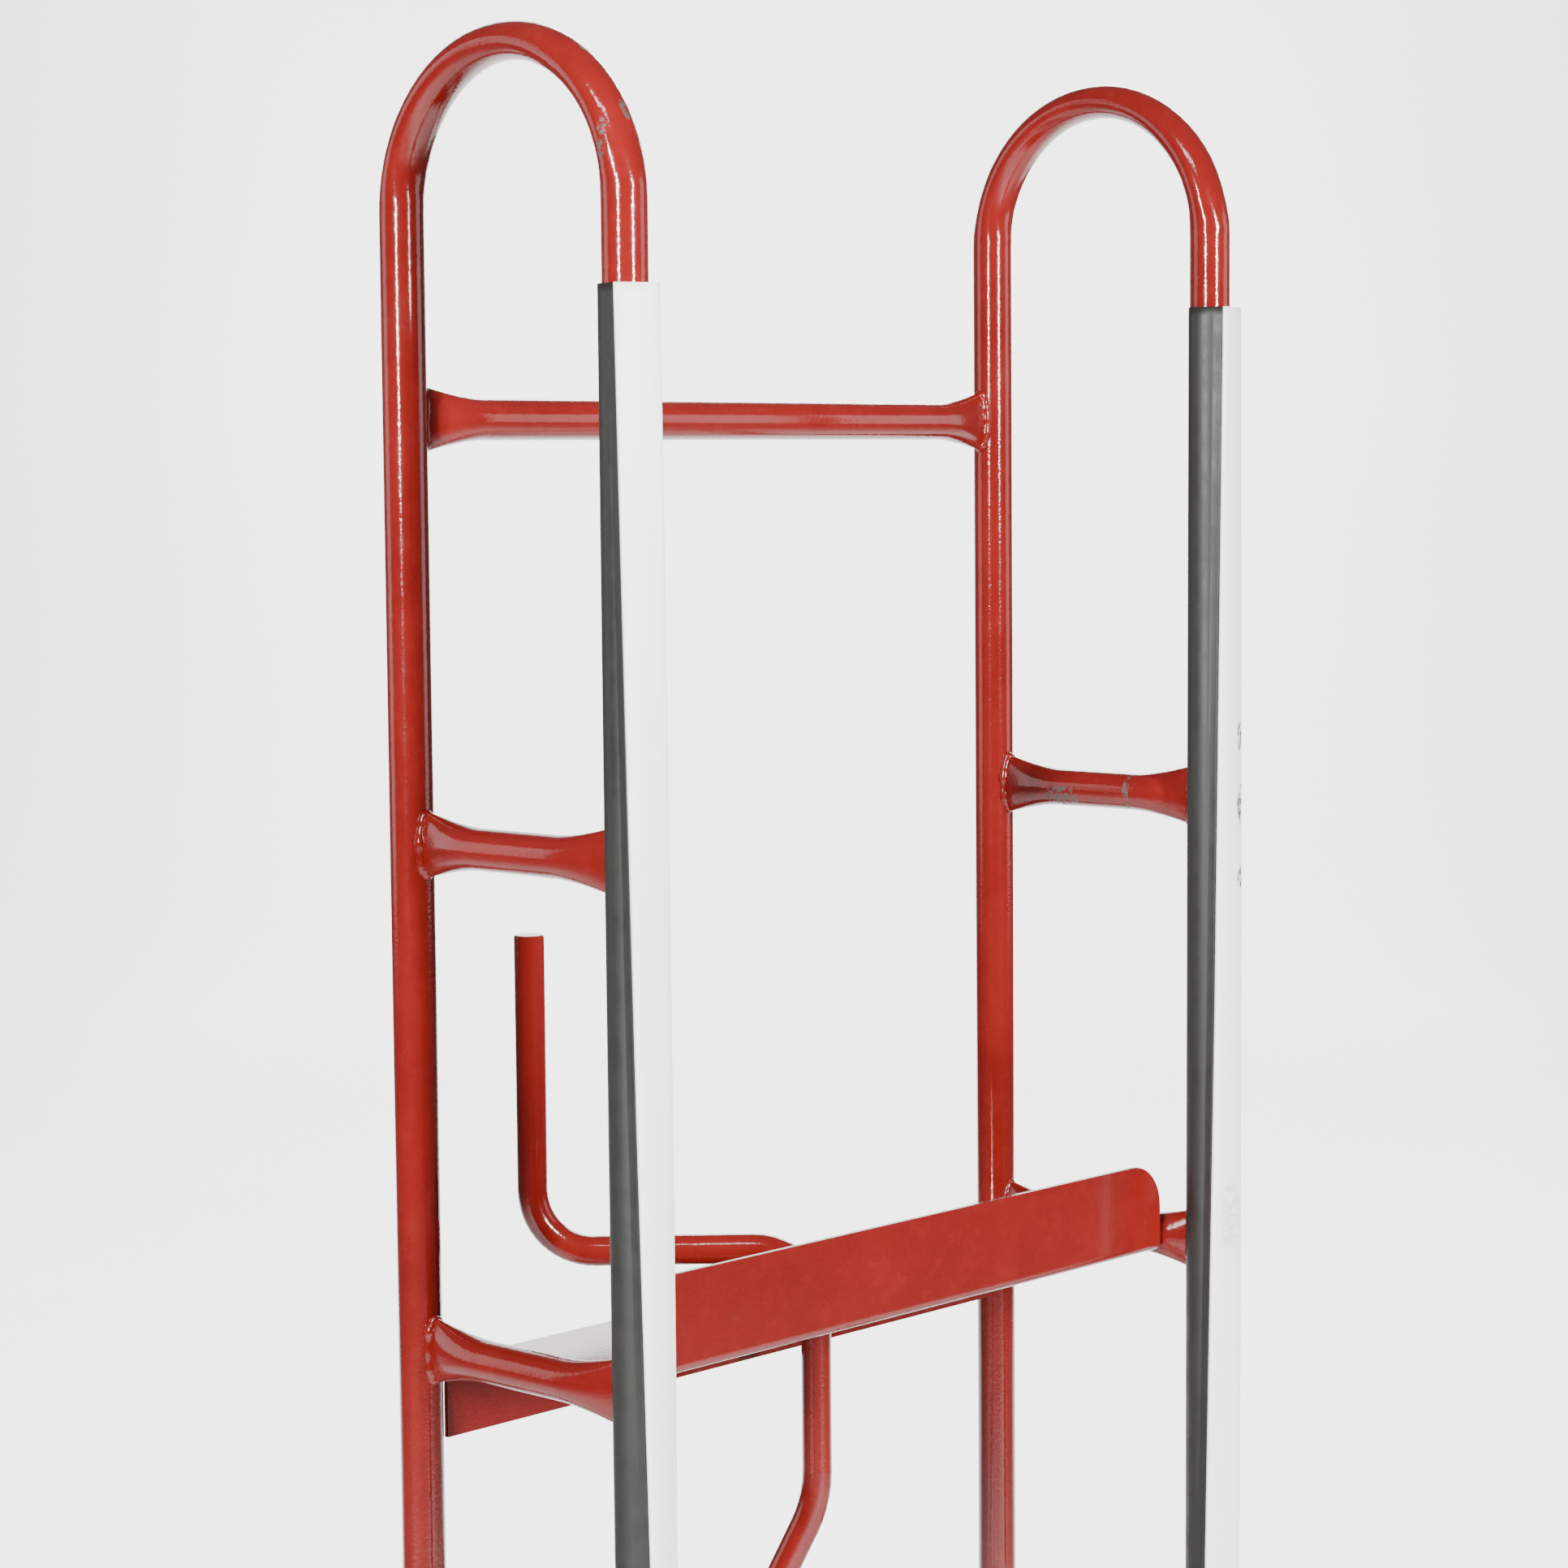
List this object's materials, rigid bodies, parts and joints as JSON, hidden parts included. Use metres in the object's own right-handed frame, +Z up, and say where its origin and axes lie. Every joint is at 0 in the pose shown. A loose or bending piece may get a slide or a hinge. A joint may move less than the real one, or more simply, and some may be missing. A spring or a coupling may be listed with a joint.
{
  "type": "tyre hand truck",
  "caption": "Tall two-wheeled hand truck with looped tubular side frames, bumper strips, folded cross tray, toe plate and a swivelling brake rod.",
  "frame": {"origin": "on the floor, in the middle of the footprint", "axes": "+Z up, +X to the right seen from the load side, -Y towards the load"},
  "size_m": [0.58, 0.6012, 1.5234],
  "materials": {
    "red_paint": "gloss enamel, brushed on",
    "white_plastic": "satin",
    "dark_rubber": "satin",
    "zinc_steel": "satin zinc",
    "bearing_steel": "polished",
    "tyre_rubber": "matt",
    "wheel_paint": "satin",
    "black_plastic": "satin",
    "lining_rubber": "matt"
  },
  "bodies": {
    "frame": {"side_loop_left": "red_paint", "upper_stretcher_left": "red_paint", "tray_stretcher_left": "red_paint", "lower_stretcher_left": "red_paint", "base_stretcher_left": "red_paint", "bumper_channel_left": "dark_rubber", "bumper_cap_left": "white_plastic", "axle_bracket_left": "red_paint", "axle_arm_left": "red_paint", "side_loop_right": "red_paint", "upper_stretcher_right": "red_paint", "tray_stretcher_right": "red_paint", "lower_stretcher_right": "red_paint", "base_stretcher_right": "red_paint", "bumper_channel_right": "dark_rubber", "bumper_cap_right": "white_plastic", "axle_bracket_right": "red_paint", "axle_arm_right": "red_paint", "rear_crossbar": "red_paint", "base_crossbar": "red_paint", "cross_tray": "red_paint", "toe_plate": "red_paint", "rod_bush": "red_paint", "toe_bolts": "zinc_steel", "toe_washers": "zinc_steel", "toe_nuts": "zinc_steel", "axle_washers": "zinc_steel", "axle_split_pins": "zinc_steel", "axle_spacers": "zinc_steel", "axle": "zinc_steel", "foot_plugs": "black_plastic"},
    "left_wheel": {"wheel_tyre_left": "tyre_rubber", "wheel_rim_left": "wheel_paint", "wheel_bearings_left": "bearing_steel"},
    "right_wheel": {"wheel_tyre_right": "tyre_rubber", "wheel_rim_right": "wheel_paint", "wheel_bearings_right": "bearing_steel"},
    "brake_rod": {"brake_rod": "red_paint", "rod_collar": "zinc_steel", "rod_collar_screw": "zinc_steel", "brake_saddle": "red_paint", "brake_shoe": "red_paint", "brake_lining": "lining_rubber"}
  },
  "joints": [
    {"name": "left_wheel_spin", "type": "hinge", "parent": "frame", "child": "left_wheel", "pos_m": [-0.225, 0.1736, 0.127], "axis": [1, 0, 0], "continuous": true},
    {"name": "right_wheel_spin", "type": "hinge", "parent": "frame", "child": "right_wheel", "pos_m": [0.225, 0.1736, 0.127], "axis": [1, 0, 0], "continuous": true},
    {"name": "brake_rod_swivel", "type": "hinge", "parent": "frame", "child": "brake_rod", "pos_m": [0, 0.0626, 0.72], "axis": [0, 0, 1], "range_deg": [-75, 3.8]}
  ]
}
